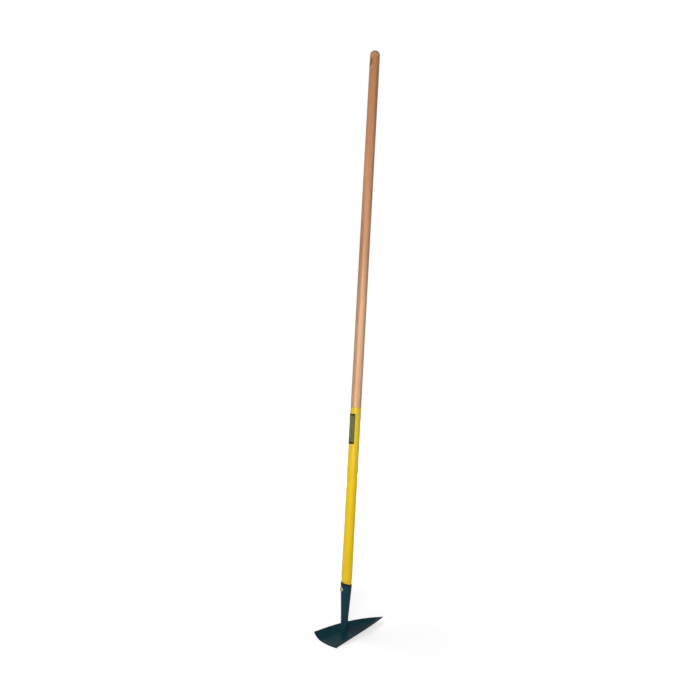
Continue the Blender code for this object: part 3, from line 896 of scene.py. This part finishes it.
# The darker ring round the neck's foot, where it meets the blade, is painted shade.
crease_shade = spread(blade_paint, from_axis(blade_paint), CREASE_SHADE_START, CREASE_SHADE_END, 0.5, 0.0)
darken(blade_paint, crease_shade, CREASE_SHADE)
wear(blade, blade_paint)

# %% Coat the weld in a darker teal, which is painted shade
weld_shaded_paint = teal_enamel("teal_enamel_weld_shaded", (0.0038, 0.024, 0.033), (0.0050, 0.030, 0.041),
                         0.40, 0.06)
wear(weld, weld_shaded_paint)

# %% [markdown]
# ## Zinc on the screw
#
# The screw is zinc plated steel: a warm grey metal, a little tarnished in patches, with fine
# marks all over it from the turning and plating.

# %% Build the zinc
BRIGHT_ZINC, DULL_ZINC = (0.31, 0.32, 0.28), (0.18, 0.18, 0.15)

zinc, shader = new_finish("zinc_plating")
turning = noise(zinc, place_pattern(zinc), 2600.0, 3.0)
tarnish = noise(zinc, place_pattern(zinc), 420.0, 3.0)
plated = mix_colours(zinc, spread(zinc, tarnish, 0.4, 0.7, 0.0, 0.5), BRIGHT_ZINC, DULL_ZINC)
join(zinc, plated, shader.inputs["Base Color"])
shader.inputs["Metallic"].default_value = 0.9
join(zinc, spread(zinc, turning, 0.3, 0.7, 0.28, 0.42), shader.inputs["Roughness"])
raise_surface(zinc, shader, turning, 0.0001, 0.4)
wear(screw, zinc)

# %% [markdown]
# ## Floor and background
#
# The hoe stands on its blade on a white floor, in front of white. Camera rays and reflections
# see the background at a strength of 1, which is white, while the light on the hoe comes from
# a dimmer level of the same world. The floor's own colour is a middle grey, which throws
# little light back up. What is seen of it is lifted by a glow. The glow is weaker near the
# blade, where the floor keeps a soft shadow, and grows to full white further out.

# %% Shader helpers for the stage
def seen_rays(material):
    """1 for camera, glossy and transmission rays, 0 for the rays that light the hoe."""
    rays = add_node(material, "ShaderNodeLightPath").outputs
    seen = calculate(material, "MAXIMUM", rays["Is Camera Ray"], rays["Is Glossy Ray"])
    return calculate(material, "MAXIMUM", seen, rays["Is Transmission Ray"])


def stage_piece(name, bm, material):
    """Stores a bmesh as a piece of the studio, which isn't part of the hoe."""
    mesh = bpy.data.meshes.new(name)
    bm.to_mesh(mesh)
    bm.free()
    mesh.materials.append(material)
    piece = bpy.data.objects.new(name, mesh)
    bpy.context.scene.collection.objects.link(piece)
    print(name, "is part of the studio")
    return piece


# %% Lay the floor
FLOOR_HALF = 6.0
FLOOR_GAP = 0.0002
GLOW_NEAR, GLOW_FAR = 0.60, 1.0
GLOW_START, GLOW_END = 0.25, 0.90

floor_white, shader = new_finish("floor_white")
shader.inputs["Base Color"].default_value = (0.6, 0.6, 0.6, 1.0)
shader.inputs["Roughness"].default_value = 0.9
shader.inputs["Specular IOR Level"].default_value = 0.0
shader.inputs["Emission Color"].default_value = (1.0, 1.0, 1.0, 1.0)
glow = spread(floor_white, from_axis(floor_white), GLOW_START, GLOW_END, GLOW_NEAR, GLOW_FAR)
join(floor_white, calculate(floor_white, "MULTIPLY", seen_rays(floor_white), glow),
     shader.inputs["Emission Strength"])

bm = bmesh.new()
bmesh.ops.create_grid(bm, x_segments=1, y_segments=1, size=FLOOR_HALF)
bmesh.ops.translate(bm, verts=bm.verts, vec=(0, 0, cad_box[0].z - FLOOR_GAP))
stage_piece("floor", bm, floor_white)

# %% Light the world
AMBIENT = 0.10
world = bpy.data.worlds.new("studio")
bpy.context.scene.world = world
world.use_nodes = True
background = world.node_tree.nodes["Background"]
background.inputs["Color"].default_value = (1.0, 1.0, 1.0, 1.0)
join(world, spread(world, seen_rays(world), 0.0, 1.0, AMBIENT, 1.0),
     background.inputs["Strength"])
print("the world lights the hoe at", AMBIENT)

# %% [markdown]
# ## A grey card for the reflections
#
# Dark enamel looks washed out when it mirrors nothing but white. A photographer therefore
# stands a dark card behind such a piece, out of the picture. This one is seen by reflections
# alone. It is nearly black below a slanting line and pale grey above it, and the near half of
# the blade picks the grey up. A ramp along a leaning direction draws that line.

# %% Stand up the card
CARD_DISTANCE = 1.2
CARD_MIDDLE = 1.71
CARD_WIDTH, CARD_HEIGHT = 2.6, 3.4
CARD_SIDE = math.radians(141.2)
CARD_DARK, CARD_PALE = 0.02, 0.70
CARD_TURN = math.radians(39.5)
CARD_EDGE = 0.815
CARD_SOFTNESS = 0.03

card_grey, shader = new_finish("card_grey")
shader.inputs["Base Color"].default_value = (0.0, 0.0, 0.0, 1.0)
shader.inputs["Specular IOR Level"].default_value = 0.0
shader.inputs["Emission Color"].default_value = (1.0, 1.0, 1.0, 1.0)
card_level = CARD_SIDE + math.pi / 2
slant = distance_along(card_grey, (-math.sin(CARD_TURN) * math.cos(card_level),
                                   -math.sin(CARD_TURN) * math.sin(card_level),
                                   math.cos(CARD_TURN)))
edge_height = CARD_EDGE * math.cos(CARD_TURN)
join(card_grey, spread(card_grey, slant, edge_height - CARD_SOFTNESS, edge_height + CARD_SOFTNESS,
                       CARD_DARK, CARD_PALE), shader.inputs["Emission Strength"])

bm = bmesh.new()
bmesh.ops.create_grid(bm, x_segments=1, y_segments=1, size=0.5)
bmesh.ops.scale(bm, verts=bm.verts, vec=(CARD_WIDTH, CARD_HEIGHT, 1.0))
bmesh.ops.rotate(bm, verts=bm.verts, cent=(0, 0, 0), matrix=Matrix.Rotation(math.pi / 2, 3, "X"))
bmesh.ops.rotate(bm, verts=bm.verts, cent=(0, 0, 0),
                 matrix=Matrix.Rotation(CARD_SIDE - math.pi / 2, 3, "Z"))
bmesh.ops.translate(bm, verts=bm.verts, vec=(CARD_DISTANCE * math.cos(CARD_SIDE),
                                             CARD_DISTANCE * math.sin(CARD_SIDE), CARD_MIDDLE))
card = stage_piece("grey_card", bm, card_grey)
card.visible_camera = False
card.visible_diffuse = False
card.visible_shadow = False
card.visible_transmission = False
card.visible_volume_scatter = False

# %% [markdown]
# ## The camera
#
# The camera stands about 1.4 m away on the user's right, a little below the middle of the
# handle, with a wide lens. It looks down on the blade and up at the hanging hole. It is held
# slightly crooked, so the hoe leans to the right in the picture.

# %% Place the camera
CAMERA_SIDE = math.radians(-38.8)
CAMERA_DISTANCE = 1.38
CAMERA_HEIGHT = 0.6364
CAMERA_PAN = math.radians(1.00)
CAMERA_TILT = math.radians(3.65)
CAMERA_ROLL = math.radians(3.16)
PIXELS_WIDE = 700
FOCAL_PIXELS = 518.2

camera_data = bpy.data.cameras.new("camera")
camera_data.sensor_width = 36.0
camera_data.lens = FOCAL_PIXELS / PIXELS_WIDE * camera_data.sensor_width
camera_data.clip_start = 0.05
camera = bpy.data.objects.new("camera", camera_data)
bpy.context.scene.collection.objects.link(camera)
heading = CAMERA_SIDE + math.pi + CAMERA_PAN
camera.matrix_world = (
    Matrix.Translation((CAMERA_DISTANCE * math.cos(CAMERA_SIDE),
                        CAMERA_DISTANCE * math.sin(CAMERA_SIDE), CAMERA_HEIGHT))
    @ Matrix.Rotation(heading - math.pi / 2, 4, "Z")
    @ Matrix.Rotation(math.pi / 2 + CAMERA_TILT, 4, "X")
    @ Matrix.Rotation(CAMERA_ROLL, 4, "Z"))
bpy.context.scene.camera = camera
print("lens", round(camera_data.lens, 2), "mm")

# %% [markdown]
# ## The lamps
#
# A soft lamp stands just to the left of the camera, so the middle of the stick is bright and
# both of its edges fall off, the right one more. A wide sun high on the left reaches the flat
# blade and the floor, and lays a faint shadow on the right. A weaker soft lamp behind the hoe
# keeps its far side from going black when it is seen from there. Reflections leave it out.

# %% Raise the sun
SKY_SIDE = CAMERA_SIDE - math.radians(95.0)
SKY_LIFT = math.radians(60.0)
sky_data = bpy.data.lights.new("sky_soft", "SUN")
sky_data.energy = 0.95
sky_data.angle = math.radians(30.0)
sky = bpy.data.objects.new("sky_soft", sky_data)
bpy.context.scene.collection.objects.link(sky)
towards_sky = Vector((math.cos(SKY_SIDE) * math.cos(SKY_LIFT),
                      math.sin(SKY_SIDE) * math.cos(SKY_LIFT), math.sin(SKY_LIFT)))
sky.rotation_euler = towards_sky.to_track_quat("Z", "Y").to_euler()
print("the sun stands", round(math.degrees(SKY_LIFT)), "degrees up")

# %% Hang the lamps
LAMP_TARGET = Vector((0, 0, 0.6))


def soft_lamp(name, side_degrees, distance, height, size, power):
    """An area lamp that faces the middle of the hoe."""
    lamp_data = bpy.data.lights.new(name, "AREA")
    lamp_data.shape = "RECTANGLE"
    lamp_data.size, lamp_data.size_y = size
    lamp_data.energy = power
    lamp = bpy.data.objects.new(name, lamp_data)
    bpy.context.scene.collection.objects.link(lamp)
    side = CAMERA_SIDE + math.radians(side_degrees)
    place = Vector((distance * math.cos(side), distance * math.sin(side), height))
    lamp.location = place
    lamp.rotation_euler = (LAMP_TARGET - place).to_track_quat("-Z", "Y").to_euler()
    print(name, "shines with", power, "W")
    return lamp


soft_lamp("key_front", side_degrees=-5.0, distance=2.2, height=1.00, size=(0.6, 1.3), power=38.0)
back_lamp = soft_lamp("back_soft", side_degrees=180.0, distance=2.4, height=0.55,
                      size=(1.2, 1.6), power=24.0)
back_lamp.visible_glossy = False

# %% [markdown]
# ## Finish
#
# The last line shows the picture through Blender's Standard view transform.

# %% Set the view transform
bpy.context.scene.view_settings.view_transform = "Standard"
